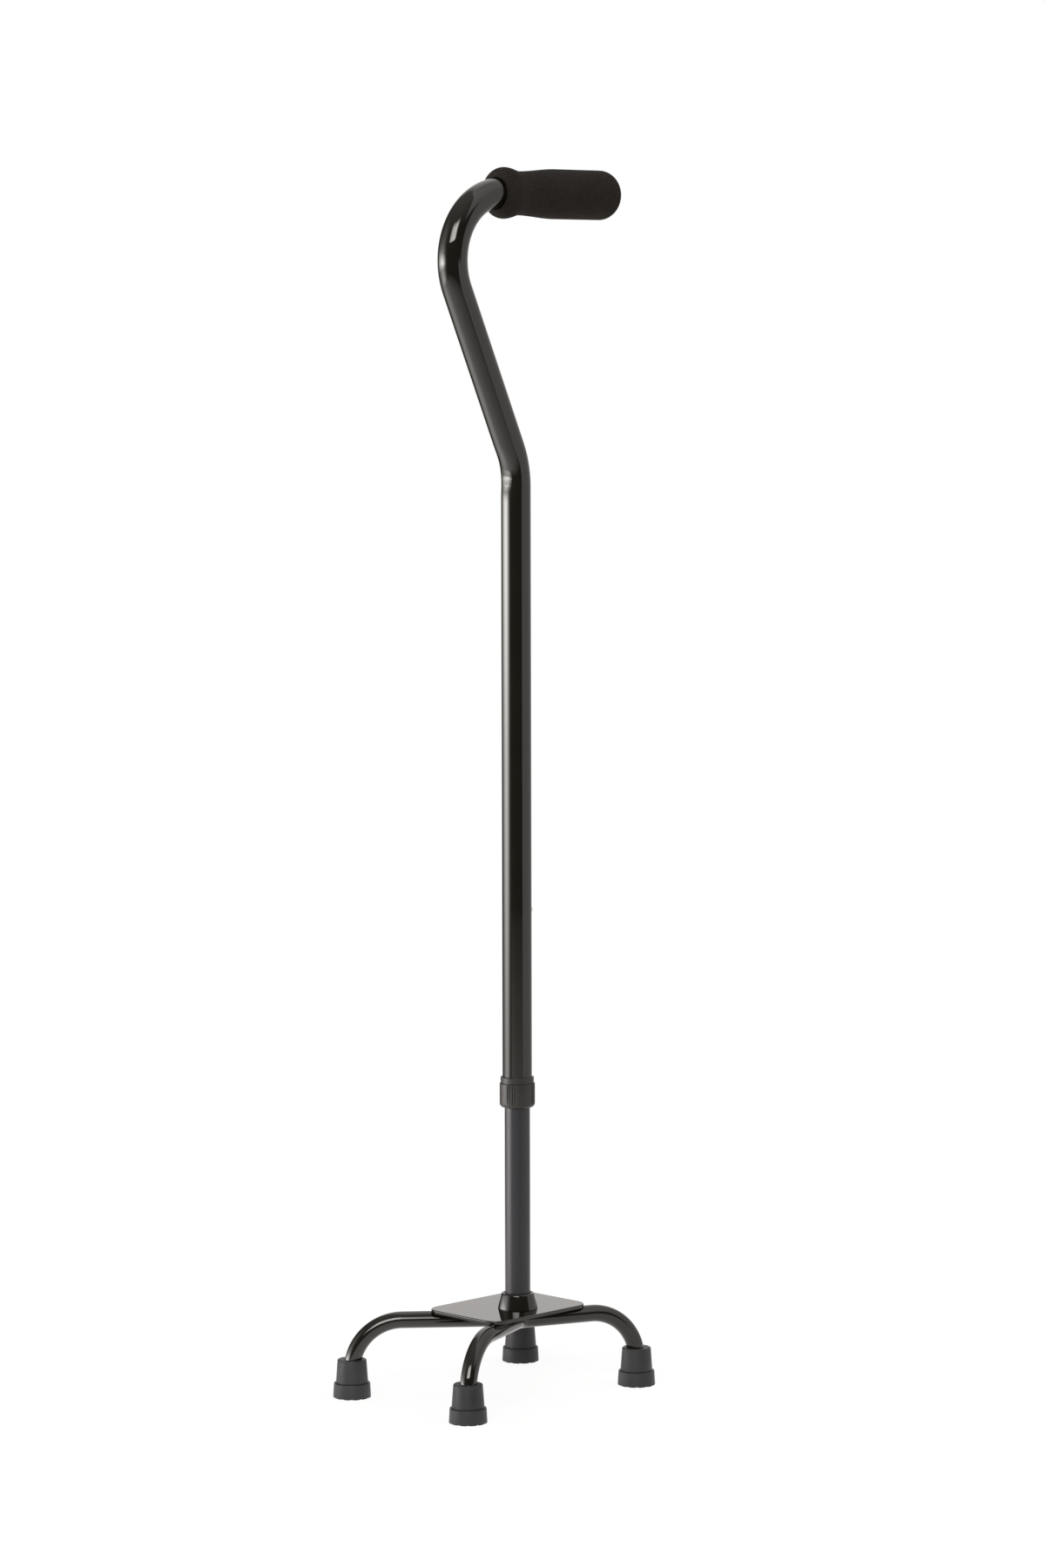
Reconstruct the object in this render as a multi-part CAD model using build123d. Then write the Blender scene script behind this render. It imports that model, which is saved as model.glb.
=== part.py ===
from build123d import *
from math import asin, atan2, cos, degrees, hypot, radians, sqrt, tan
import os

# Quad walking cane: a four-footed base, a telescopic shaft with a snap button and a
# locking collar, and a swan neck with a foam grip.
# Millimetres. The origin is on the floor at the centre of the four feet. +X runs along
# the grip to its free end, +Y to the wide side of the base, +Z up.

# Feet and rubber tips
foot_span_x = 180.6
foot_span_y = 124.2
tip_height = 28.7
tip_sole_radius = 14.2
tip_step_height = 11.0
tip_step_radius = 13.65
tip_cone_radius = 12.15
tip_mouth_radius = 10.9
tip_undercut_depth = 0.5
tip_undercut_height = 0.6
tip_rim_round = 0.7
tip_floor = 5.0
tread_notches = 12
tread_notch_width = 2.4
tread_notch_depth = 0.8
tread_ring_radii = (5.0, 9.0)
tread_ring_width = 1.5
tread_ring_depth = 1.2
washer_radius = 7.2
washer_hole_radius = 2.0
washer_thickness = 1.6

# Leg tubes
leg_tube_diameter = 12.7
leg_tube_wall = 1.6
leg_height = 58.0
foot_bend_radius = 38.0
crown_bend_radius = 16.0
front_crown_offset = 3.0
crown_gap = 3.5

# Base plate, welds and hub
plate_length = 101.6
plate_width = 76.2
plate_thickness = 2.5
plate_corner_radius = 12.7
plate_edge_round = 0.8
weld_length = 16.0
weld_leg = 3.4
hub_base_wall = 5.475
hub_top_wall = 2.775
hub_height = 12.0
hub_rim_round = 1.4
hub_floor = 3.5
hub_spigot_wall = 2.475
hub_mouth_relief = 0.9
hub_screw_radius = 2.5
hub_screw_length = 4.0
hub_screw_socket_radius = 1.45
hub_screw_socket_depth = 2.0
hub_screw_height = 6.0

# Shaft position and telescopic tubes
shaft_offset_y = -24.4
plate_offset_y = 10.7
lower_tube_wall = 1.25
lower_tube_above_button = 35.0
upper_tube_diameter = 22.225
upper_tube_wall = 1.4
hole_pitch = 19.05
lowering_steps = 7
raising_steps = 5
collar_to_hub_gap = 7.65
first_hole_margin = 29.7
plug_length = 22.0

# Swan neck and grip
neck_bend_rise = 468.0
grip_axis_rise = 668.4
neck_slant = 25.0
neck_bend_radius = 70.4
crook_bend_radius = 50.0
grip_length = 123.0
grip_over_bend = 6.1
grip_end_wall = 6.0
grip_flange_radius = 18.95
grip_waist_radius = 16.2
grip_body_radius = 18.5
grip_flange_round = 8.5
grip_end_round = 13.0
grip_waist_place = 23.5
grip_body_place = 84.0
grip_mouth_chamfer = 1.6
end_plug_head = 2.0
end_plug_length = 12.0

# Locking collar and collet sleeve
collar_height = 18.4
collar_over_tube = 2.1375
collar_foot_round = 3.0
collar_top_chamfer = 0.4
collar_floor = 2.05
sleeve_lip_height = 4.45
sleeve_lip_over_tube = 1.3875
sleeve_lip_round = 0.6
sleeve_socket_depth = 11.0
sleeve_socket_wall = 0.75
collet_taper_height = 4.3
collet_taper = 1.3
collet_slots = 4
collet_slot_width = 1.2
collet_slot_length = 8.0
flute_groups = 4
flutes_per_group = 4
flute_spacing = 9.0
first_flute_group = 25.0
flute_radius = 0.75
flute_depth = 0.6

# Snap button and its leaf spring
button_radius = 3.3
button_proud = 3.0
button_round = 1.4
button_flange_radius = 4.4
button_flange_thickness = 1.0
spring_strip_width = 5.0
spring_strip_thickness = 0.7
spring_length = 44.0
spring_button_leg = 18.0
spring_bend_radius = 3.0

# Guide bush
bush_head_height = 6.0
bush_spigot_length = 12.0
bush_hole_radius = 4.0

# Clearances
seat_gap = 0.02
running_fit = 0.08
tube_slide_gap = 0.1875
button_fit = 0.2
moving_gap = 0.3

# Worked out from the sizes above
leg_radius = leg_tube_diameter / 2
upper_radius = upper_tube_diameter / 2
upper_bore = upper_radius - upper_tube_wall
lower_radius = upper_bore - tube_slide_gap
lower_bore = lower_radius - lower_tube_wall
plate_bottom = leg_height + leg_radius
plate_top = plate_bottom + plate_thickness
hub_top = plate_top + hub_height
hub_bore = lower_radius + moving_gap
hub_base_radius = lower_radius + hub_base_wall
hub_top_radius = lower_radius + hub_top_wall
hub_spigot_radius = lower_radius + hub_spigot_wall
hub_seat = plate_bottom + hub_floor
collar_bottom = hub_top + collar_to_hub_gap + lowering_steps * hole_pitch
collar_top = collar_bottom + collar_height
collar_radius = upper_radius + collar_over_tube
sleeve_lip_radius = upper_radius + sleeve_lip_over_tube
sleeve_top = collar_top + moving_gap + sleeve_lip_height
upper_tube_end = sleeve_top - sleeve_socket_depth
button_height = sleeve_top + first_hole_margin + raising_steps * hole_pitch
lower_tube_top = button_height + lower_tube_above_button
leg_end = tip_floor + washer_thickness
neck_height = upper_tube_end + neck_bend_rise
grip_axis = upper_tube_end + grip_axis_rise
crook_turn = 90 + neck_slant
crook_corner_x = -(grip_axis - neck_height) * tan(radians(neck_slant))
crook_end_x = crook_corner_x + crook_bend_radius * tan(radians(crook_turn / 2))
grip_start = crook_end_x - grip_over_bend
grip_end = grip_start + grip_length
handle_tube_end = grip_end - grip_end_wall - end_plug_head

shaft_axis = Pos(0, shaft_offset_y, 0)
feet = {
    "front": (-foot_span_x / 2, -foot_span_y / 2),
    "right": (foot_span_x / 2, -foot_span_y / 2),
    "left": (-foot_span_x / 2, foot_span_y / 2),
    "back": (foot_span_x / 2, foot_span_y / 2),
}


def spun(points):
    """Turns a closed outline of (radius, height) points about the Z axis."""
    outline = make_face(Polyline([(r, 0, z) for r, z in points], close=True))
    return revolve(outline, Axis.Z)


def rod_along(path, radius):
    """A round rod whose axis is the path."""
    section = Plane(origin=path @ 0, z_dir=path % 0) * Circle(radius)
    return sweep(section, path=path)


def tube_along(path, radius, wall):
    """A round tube whose axis is the path."""
    return rod_along(path, radius) - rod_along(path, radius - wall)


def ring(outer, inner, bottom, top):
    """A plain ring on the Z axis between two heights."""
    return spun([(inner, bottom), (outer, bottom), (outer, top), (inner, top)])


def disc(radius, bottom, top):
    """A plain disc on the Z axis between two heights."""
    return Pos(0, 0, bottom) * Cylinder(
        radius, top - bottom, align=(Align.CENTER, Align.CENTER, Align.MIN)
    )


def peg_x(radius, start, end, height):
    """A round peg along +X, from start to end, at a height on the shaft axis."""
    peg = Cylinder(radius, end - start, align=(Align.CENTER, Align.CENTER, Align.MIN))
    return Pos(start, 0, height) * Rot(0, 90, 0) * peg


def leg_angle(reach_y):
    """Angle off X of a leg that touches the crown's arc, reach_y from crown to feet."""
    reach_x = foot_span_x / 2
    rise = reach_y - crown_bend_radius
    swing = asin(crown_bend_radius / hypot(reach_x, rise))
    return atan2(rise, reach_x) + swing


def leg_path(side, crown_y):
    """Centreline of a leg tube on the side -1 (front) or +1 (rear) of the base."""
    reach = foot_span_y / 2 - side * crown_y
    angle = leg_angle(reach)
    vertex_y = side * (foot_span_y / 2 - foot_span_x / 2 * tan(angle))
    foot_y = side * foot_span_y / 2
    return FilletPolyline(
        (-foot_span_x / 2, foot_y, leg_end),
        (-foot_span_x / 2, foot_y, leg_height),
        (0, vertex_y, leg_height),
        (foot_span_x / 2, foot_y, leg_height),
        (foot_span_x / 2, foot_y, leg_end),
        radius=[foot_bend_radius, crown_bend_radius, foot_bend_radius],
    )


front_crown_y = shaft_offset_y - front_crown_offset
rear_crown_y = front_crown_y + leg_tube_diameter + crown_gap
leg_paths = {
    "front": leg_path(-1, front_crown_y),
    "rear": leg_path(1, rear_crown_y),
}
handle_path = FilletPolyline(
    (0, shaft_offset_y, upper_tube_end),
    (0, shaft_offset_y, neck_height),
    (crook_corner_x, shaft_offset_y, grip_axis),
    (handle_tube_end, shaft_offset_y, grip_axis),
    radius=[neck_bend_radius, crook_bend_radius],
)


def make_rubber_tip():
    """One ferrule on the Z axis: stepped cone, grooved sole and washer pocket."""
    step_top = tip_step_height + tip_undercut_height
    neck_radius = tip_cone_radius - tip_undercut_depth
    tip = spun(
        [
            (0, 0),
            (tip_sole_radius, 0),
            (tip_step_radius, tip_step_height),
            (neck_radius, tip_step_height),
            (neck_radius, step_top),
            (tip_cone_radius, step_top),
            (tip_mouth_radius, tip_height),
            (0, tip_height),
        ]
    )
    rim = tip.edges().filter_by(GeomType.CIRCLE).group_by(Axis.Z)[-1]
    tip = fillet(rim, tip_rim_round)
    for radius in tread_ring_radii:
        tip -= ring(radius + tread_ring_width, radius, 0, tread_ring_depth)
    notch_reach = tip_sole_radius - tread_ring_radii[-1] - 2 * tread_ring_width
    for turn in range(tread_notches):
        notch = Box(notch_reach, tread_notch_width, 2 * tread_notch_depth)
        tip -= Rot(0, 0, turn * 360 / tread_notches) * Pos(tip_sole_radius, 0, 0) * notch
    tip -= disc(washer_radius + seat_gap, tip_floor, leg_end)
    return tip


def make_washer():
    """Steel washer under the end of a leg, on the Z axis."""
    return ring(washer_radius, washer_hole_radius, tip_floor, leg_end)


def make_base_plate():
    """Flat plate with rounded corners and the hole for the hub's spigot."""
    outline = RectangleRounded(plate_length, plate_width, plate_corner_radius)
    centre = Pos(0, shaft_offset_y + plate_offset_y, plate_bottom)
    plate = centre * extrude(outline, plate_thickness)
    plate = fillet(plate.faces().sort_by(Axis.Z)[-1].edges(), plate_edge_round)
    return plate - shaft_axis * disc(hub_spigot_radius + seat_gap, plate_bottom, plate_top)


def make_plate_welds():
    """Two weld beads on each leg under the plate, beside the tube's top line."""
    beads = []
    for side, crown_y in ((-1, front_crown_y), (1, rear_crown_y)):
        angle = leg_angle(foot_span_y / 2 - side * crown_y)
        vertex_y = side * (foot_span_y / 2 - foot_span_x / 2 * tan(angle))
        weld_start = crown_bend_radius * tan(angle) + weld_length
        for end in (-1, 1):
            heading = degrees(atan2(side * tan(angle), end))
            along_leg = Pos(0, vertex_y, 0) * Rot(0, 0, heading)
            for flank in (-1, 1):
                inner = flank * weld_leg / 2
                outer = flank * (weld_leg / 2 + weld_leg)
                bead_face = make_face(
                    Polyline(
                        (0, inner, plate_bottom),
                        (0, outer, plate_bottom),
                        (0, outer - flank * weld_leg / 4, plate_bottom - weld_leg / 2),
                        (0, inner, plate_bottom - weld_leg),
                        close=True,
                    )
                )
                bead = extrude(bead_face, weld_length, dir=(1, 0, 0))
                core = Pos(0, 0, leg_height) * Rot(0, 90, 0) * Cylinder(
                    leg_radius + seat_gap, 4 * foot_span_x
                )
                beads.append(along_leg * (Pos(weld_start, 0, 0) * bead - core))
    return Compound(children=[solid for bead in beads for solid in bead.solids()])


def make_hub_screw():
    """Grub screw lying along Y in the hub's far wall, with a hexagon socket."""
    screw = Cylinder(
        hub_screw_radius, hub_screw_length, align=(Align.CENTER, Align.CENTER, Align.MIN)
    )
    socket = extrude(RegularPolygon(hub_screw_socket_radius, 6), hub_screw_socket_depth)
    screw -= Pos(0, 0, hub_screw_length - hub_screw_socket_depth) * socket
    height = plate_top + hub_screw_height
    return Pos(0, lower_radius + seat_gap, height) * Rot(-90, 0, 0) * screw


def make_hub():
    """Tapered cup that holds the foot of the lower tube, with a spigot in the plate."""
    hub = spun(
        [
            (0, plate_bottom),
            (hub_spigot_radius, plate_bottom),
            (hub_spigot_radius, plate_top),
            (hub_base_radius, plate_top),
            (hub_top_radius, hub_top),
            (0, hub_top),
        ]
    )
    rim = hub.edges().filter_by(GeomType.CIRCLE).group_by(Axis.Z)[-1]
    hub = fillet(rim, hub_rim_round)
    hub -= disc(hub_bore, hub_seat, hub_top)
    hub -= spun(
        [
            (0, hub_top - hub_mouth_relief),
            (hub_bore, hub_top - hub_mouth_relief),
            (hub_bore + hub_mouth_relief, hub_top),
            (0, hub_top),
        ]
    )
    screw_hole = Cylinder(
        hub_screw_radius + seat_gap,
        hub_base_radius,
        align=(Align.CENTER, Align.CENTER, Align.MIN),
    )
    return hub - Pos(0, 0, plate_top + hub_screw_height) * Rot(-90, 0, 0) * screw_hole


def make_lower_tube():
    """Inner tube from the hub's seat up, with the hole for the snap button."""
    tube = ring(lower_radius, lower_bore, hub_seat, lower_tube_top)
    return tube - peg_x(button_radius + button_fit, 0, upper_radius, button_height)


def make_guide_bush():
    """Plastic bush in the top of the lower tube, whose head runs in the upper tube."""
    bush = spun(
        [
            (bush_hole_radius, lower_tube_top - bush_spigot_length),
            (lower_bore - seat_gap, lower_tube_top - bush_spigot_length),
            (lower_bore - seat_gap, lower_tube_top),
            (upper_bore - running_fit, lower_tube_top),
            (upper_bore - running_fit, lower_tube_top + bush_head_height),
            (bush_hole_radius, lower_tube_top + bush_head_height),
        ]
    )
    return bush


button_flange_face = sqrt(lower_bore**2 - button_flange_radius**2) - moving_gap
button_flange_back = button_flange_face - button_flange_thickness


def make_snap_button():
    """Domed button that passes through both tubes, with a flange inside the lower one."""
    tip = upper_radius + button_proud
    barrel = peg_x(button_radius, button_flange_face, tip, button_height)
    barrel = fillet(barrel.faces().sort_by(Axis.X)[-1].edges(), button_round)
    flange = peg_x(
        button_flange_radius, button_flange_back, button_flange_face, button_height
    )
    return barrel + flange


def make_button_spring():
    """V-shaped leaf: one leg behind the button, the other against the far wall."""
    half = spring_strip_thickness / 2
    front = button_flange_back - half
    wall_line = sqrt(lower_bore**2 - (spring_strip_width / 2) ** 2)
    back = -(wall_line - moving_gap - half)
    top = button_height + button_flange_radius
    knee = button_height - spring_button_leg
    path = FilletPolyline(
        (front, 0, top),
        (front, 0, knee),
        ((front + back) / 2, 0, button_height - spring_length),
        (back, 0, knee),
        (back, 0, top),
        radius=spring_bend_radius,
    )
    section = Plane(origin=path @ 0, x_dir=(1, 0, 0), z_dir=path % 0)
    return sweep(section * Rectangle(spring_strip_thickness, spring_strip_width), path=path)


def make_upper_tube():
    """Swan-necked outer tube with its row of height holes on the +X side."""
    tube = tube_along(handle_path, upper_radius, upper_tube_wall)
    for step in range(-raising_steps, lowering_steps + 1):
        height = button_height + step * hole_pitch
        hole = peg_x(button_radius + button_fit, 0, 2 * upper_radius, height)
        tube -= shaft_axis * hole
    return tube


def make_collet_sleeve():
    """Sleeve on the end of the upper tube: lip, thread barrel and slotted collet."""
    barrel = upper_radius + seat_gap + sleeve_socket_wall
    lip_bottom = sleeve_top - sleeve_lip_height
    collet_bottom = collar_bottom + collar_floor + moving_gap
    taper_top = collet_bottom + collet_taper_height
    sleeve = spun(
        [
            (lower_radius + running_fit, collet_bottom),
            (barrel - collet_taper, collet_bottom),
            (barrel, taper_top),
            (barrel, lip_bottom),
            (sleeve_lip_radius, lip_bottom),
            (sleeve_lip_radius, sleeve_top),
            (lower_radius + running_fit, sleeve_top),
        ]
    )
    rim = sleeve.edges().filter_by(GeomType.CIRCLE).group_by(Axis.Z)[-1]
    sleeve = fillet(rim.sort_by(SortBy.RADIUS)[-1], sleeve_lip_round)
    sleeve -= disc(upper_radius + seat_gap, upper_tube_end, sleeve_top)
    for turn in range(collet_slots):
        slot = Pos(barrel, 0, collet_bottom) * Box(
            2 * barrel, collet_slot_width, 2 * collet_slot_length
        )
        sleeve -= Rot(0, 0, (turn + 0.5) * 360 / collet_slots) * slot
    return sleeve


def make_lock_collar():
    """Fluted nut that closes the collet on the lower tube."""
    barrel = upper_radius + seat_gap + sleeve_socket_wall + moving_gap
    floor_top = collar_bottom + collar_floor
    taper_top = floor_top + collet_taper_height
    nut = disc(collar_radius, collar_bottom, collar_top)
    nut = fillet(nut.faces().sort_by(Axis.Z)[0].edges(), collar_foot_round)
    nut = chamfer(nut.faces().sort_by(Axis.Z)[-1].edges(), collar_top_chamfer)
    nut -= spun(
        [
            (0, collar_bottom),
            (lower_radius + moving_gap, collar_bottom),
            (lower_radius + moving_gap, floor_top),
            (barrel - collet_taper, floor_top),
            (barrel, taper_top),
            (barrel, collar_top),
            (0, collar_top),
        ]
    )
    flute_bottom = collar_bottom + collar_foot_round
    flute = disc(flute_radius, flute_bottom, collar_top)
    reach = collar_radius + flute_radius - flute_depth
    for group in range(flute_groups):
        middle = first_flute_group + group * 360 / flute_groups
        for place in range(flutes_per_group):
            turn = middle + (place - (flutes_per_group - 1) / 2) * flute_spacing
            nut -= Rot(0, 0, turn) * Pos(reach, 0, 0) * flute
    return nut


def make_foam_grip():
    """Foam handle: flange, waist, full body and round closed end, with its bore."""
    bore = upper_radius + seat_gap
    bore_end = grip_end - grip_end_wall
    flange_centre = (grip_start + grip_flange_round, grip_flange_radius - grip_flange_round)
    mouth_radius = bore + grip_mouth_chamfer
    mouth_angle = asin((mouth_radius - flange_centre[1]) / grip_flange_round)
    mouth_x = flange_centre[0] - grip_flange_round * cos(mouth_angle)
    end_bottom = grip_end - grip_end_round
    flange = CenterArc(flange_centre, grip_flange_round, 90, 90 - degrees(mouth_angle))
    sides = Spline(
        (flange_centre[0], grip_flange_radius),
        (grip_start + grip_waist_place, grip_waist_radius),
        (grip_start + grip_body_place, grip_body_radius),
        (end_bottom, grip_body_radius),
        tangents=[(1, 0), (1, 0)],
    )
    end = CenterArc((end_bottom, grip_body_radius - grip_end_round), grip_end_round, 0, 90)
    core = Polyline(
        (grip_end, grip_body_radius - grip_end_round),
        (grip_end, 0),
        (mouth_x + 2 * grip_mouth_chamfer, 0),
        (mouth_x + 2 * grip_mouth_chamfer, bore - grip_mouth_chamfer),
        (mouth_x, mouth_radius),
    )
    outline = make_face(flange + sides + end + core)
    grip = revolve(Plane.XZ * outline, Axis.X)
    bore_path = FilletPolyline(
        (0, shaft_offset_y, neck_height),
        (crook_corner_x, shaft_offset_y, grip_axis),
        (bore_end, shaft_offset_y, grip_axis),
        radius=crook_bend_radius,
    )
    return Pos(0, shaft_offset_y, grip_axis) * grip - rod_along(bore_path, bore)


def make_end_plug():
    """Plastic plug with a head that closes the end of the handle tube."""
    spigot = peg_x(upper_bore - seat_gap, handle_tube_end - end_plug_length, handle_tube_end, 0)
    head = peg_x(upper_radius, handle_tube_end, handle_tube_end + end_plug_head, 0)
    return Pos(0, shaft_offset_y, grip_axis) * (spigot + head)


parts = {}
for name, path in leg_paths.items():
    parts["leg_tube_" + name] = tube_along(path, leg_radius, leg_tube_wall)
leg_cores = [rod_along(path, leg_radius + seat_gap) for path in leg_paths.values()]
washers = []
for name, (x, y) in feet.items():
    tip = Pos(x, y, 0) * make_rubber_tip()
    parts["rubber_tip_" + name] = tip - leg_cores[0 if y < 0 else 1]
    washers.append(Pos(x, y, 0) * make_washer())
parts["tip_washers"] = Compound(children=[s for w in washers for s in w.solids()])
parts["base_plate"] = make_base_plate()
parts["plate_welds"] = make_plate_welds()
parts["base_hub"] = shaft_axis * make_hub()
parts["hub_screw"] = shaft_axis * make_hub_screw()
parts["lower_tube"] = shaft_axis * make_lower_tube()
parts["lower_tube_plug"] = shaft_axis * disc(
    lower_bore - seat_gap, hub_seat, hub_seat + plug_length
)
parts["guide_bush"] = shaft_axis * make_guide_bush()
parts["snap_button"] = shaft_axis * make_snap_button()
parts["button_spring"] = shaft_axis * make_button_spring()
parts["upper_tube"] = make_upper_tube()
parts["collet_sleeve"] = shaft_axis * make_collet_sleeve()
parts["lock_collar"] = shaft_axis * make_lock_collar()
parts["foam_grip"] = make_foam_grip()
parts["handle_end_plug"] = make_end_plug()

os.makedirs("parts", exist_ok=True)
for name, shape in parts.items():
    export_step(shape, "parts/" + name + ".step")
print("parts:", len(parts), "button at", button_height, "grip axis at", grip_axis)
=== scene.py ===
import logging
import math
import random
from collections.abc import Callable
from dataclasses import dataclass, field
from enum import Enum

import bpy
from mathutils import Matrix, Vector


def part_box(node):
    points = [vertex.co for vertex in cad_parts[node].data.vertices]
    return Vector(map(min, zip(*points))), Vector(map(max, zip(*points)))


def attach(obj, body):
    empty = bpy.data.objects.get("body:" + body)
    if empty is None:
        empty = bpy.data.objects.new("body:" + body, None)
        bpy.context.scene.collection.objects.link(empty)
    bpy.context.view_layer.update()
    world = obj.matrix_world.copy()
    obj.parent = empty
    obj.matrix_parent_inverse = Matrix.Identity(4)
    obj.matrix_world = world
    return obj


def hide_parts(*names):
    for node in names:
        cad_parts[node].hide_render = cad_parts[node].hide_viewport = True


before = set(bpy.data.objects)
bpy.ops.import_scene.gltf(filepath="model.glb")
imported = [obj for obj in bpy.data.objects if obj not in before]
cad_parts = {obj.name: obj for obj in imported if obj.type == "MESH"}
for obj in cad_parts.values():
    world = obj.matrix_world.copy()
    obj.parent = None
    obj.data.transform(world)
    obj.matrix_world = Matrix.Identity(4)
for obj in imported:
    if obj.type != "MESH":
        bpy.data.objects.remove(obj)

LOG = logging.getLogger("quad_cane")
MERGE = 0.00001
POLE_RADIUS = 0.00002
POLE_MERGE = 0.00003

Colour = tuple[float, float, float]
Curve = tuple[tuple[float, float], ...]
Piece = bpy.types.Object
Socket = bpy.types.NodeSocket
Sockets = bpy.types.bpy_prop_collection
Inputs = dict[str | int, object]


# --- Small helpers for operators and node trees ---


def deselect_all() -> None:
    """Leaves nothing selected and nothing active."""
    for thing in bpy.context.selected_objects:
        thing.select_set(False)
    bpy.context.view_layer.objects.active = None


def make_active(piece: Piece) -> None:
    """Selects one object alone and makes it active.

    Args:
        piece: The object.
    """
    deselect_all()
    piece.select_set(True)
    bpy.context.view_layer.objects.active = piece


class Nodes:
    """Adds, feeds and links the nodes of one node tree."""

    def __init__(self, tree: bpy.types.NodeTree) -> None:
        """Keeps the tree that is filled."""
        self.tree = tree

    def feed(self, node: bpy.types.Node, inputs: Inputs) -> None:
        """Links or sets the inputs of a node.

        Args:
            node: The node.
            inputs: The socket or value for each input, by its name or number.
        """
        for key, value in inputs.items():
            if isinstance(value, Socket):
                self.tree.links.new(value, node.inputs[key])
            else:
                node.inputs[key].default_value = value

    def add(self, kind: str, inputs: Inputs | None = None, **values: object) -> bpy.types.Node:
        """Adds a node, sets its properties and feeds its inputs.

        Args:
            kind: The node's type name, without its ShaderNode prefix.
            inputs: The socket or value for each input.
            **values: Properties of the node.

        Returns:
            The new node.
        """
        prefix = "" if kind.startswith("NodeGroup") else "ShaderNode"
        node = self.tree.nodes.new(prefix + kind)
        for name, value in values.items():
            setattr(node, name, value)
        self.feed(node, inputs or {})
        return node

    def maths(self, operation: str, *inputs: Socket | float) -> Socket:
        """Result of a Math node on sockets and numbers."""
        return self.add("Math", dict(enumerate(inputs)), operation=operation).outputs[0]

    def noise(
        self, vector: Socket, scale: Socket | float, detail: float, roughness: float = 0.5
    ) -> Socket:
        """Value of a noise texture."""
        inputs = {"Vector": vector, "Scale": scale, "Detail": detail, "Roughness": roughness}
        return self.add("TexNoise", inputs).outputs["Fac"]

    def remap(
        self,
        value: Socket,
        before: tuple[float, float],
        after: tuple[Socket | float, Socket | float] = (0.0, 1.0),
    ) -> Socket:
        """A value moved from one range to another."""
        ends = zip(("From Min", "From Max", "To Min", "To Max"), (*before, *after))
        return self.add("MapRange", {"Value": value, **dict(ends)}).outputs["Result"]

    def blend(self, share: Socket, first: object, second: object) -> Socket:
        """Mix of two colours by a share."""
        inputs = {"Factor": share, "A": first, "B": second}
        return self.add("Mix", inputs, data_type="RGBA").outputs["Result"]

    def ramp(self, source: Socket, stops: list[tuple[float, float]]) -> Socket:
        """Adds a grey colour ramp.

        Args:
            source: The socket that drives the ramp.
            stops: Place and grey value of each stop, in order.

        Returns:
            The ramp's colour output.
        """
        node = self.add("ValToRGB", {0: source})
        elements = node.color_ramp.elements
        elements.remove(elements[-1])
        for index, (place, grey) in enumerate(stops):
            element = elements[0] if index == 0 else elements.new(place)
            element.position = place
            element.color = (grey, grey, grey, 1.0)
        return node.outputs[0]


# --- Shared surface effects, as node groups ---


class Effect:
    """A shader node group with named inputs and outputs, built once."""

    name = "effect"
    inputs: dict[str, float] = {}
    output = "Value"

    def __init__(self) -> None:
        """Makes the group with its sockets and fills it."""
        self.tree = bpy.data.node_groups.new(self.name, "ShaderNodeTree")
        sides = self.tree.interface
        sides.new_socket("Vector", in_out="INPUT", socket_type="NodeSocketVector")
        for label, value in self.inputs.items():
            socket = sides.new_socket(label, in_out="INPUT", socket_type="NodeSocketFloat")
            socket.default_value = value
        sides.new_socket(self.output, in_out="OUTPUT", socket_type="NodeSocketFloat")
        nodes = Nodes(self.tree)
        result = self.fill(nodes, nodes.add("NodeGroupInput").outputs)
        nodes.add("NodeGroupOutput", {self.output: result})

    def fill(self, nodes: Nodes, given: Sockets) -> Socket:
        """Builds the inside of the group.

        Args:
            nodes: The group's own tree.
            given: The sockets of the group's inputs.

        Returns:
            The socket that leaves the group.
        """
        raise NotImplementedError


class Mottle(Effect):
    """Slow change of tone over a surface, from handling and uneven coating."""

    name = "mottle"
    inputs = {"Scale": 40.0, "Low": 0.3, "High": 0.5}
    detail = 4.0
    roughness = 0.6
    noise_range = (0.3, 0.7)

    def fill(self, nodes: Nodes, given: Sockets) -> Socket:
        """Maps a soft noise to the range from Low to High.

        Args:
            nodes: The group's own tree.
            given: The sockets of the group's inputs.

        Returns:
            The tone.
        """
        noise = nodes.noise(given["Vector"], given["Scale"], self.detail, self.roughness)
        return nodes.remap(noise, self.noise_range, (given["Low"], given["High"]))


class Grain(Effect):
    """Fine moulded or sprayed grain, as a height for bump."""

    name = "grain"
    inputs = {"Scale": 800.0}
    output = "Height"
    detail = 2.0
    coarse_share = 0.7
    fine_share = 0.3
    fine_ratio = 3.1

    def fill(self, nodes: Nodes, given: Sockets) -> Socket:
        """Adds two sizes of noise.

        Args:
            nodes: The group's own tree.
            given: The sockets of the group's inputs.

        Returns:
            The height.
        """
        fine_scale = nodes.maths("MULTIPLY", given["Scale"], self.fine_ratio)
        coarse = nodes.noise(given["Vector"], given["Scale"], self.detail)
        fine = nodes.noise(given["Vector"], fine_scale, self.detail)
        base = nodes.maths("MULTIPLY", coarse, self.coarse_share)
        return nodes.maths("MULTIPLY_ADD", fine, self.fine_share, base)


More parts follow.
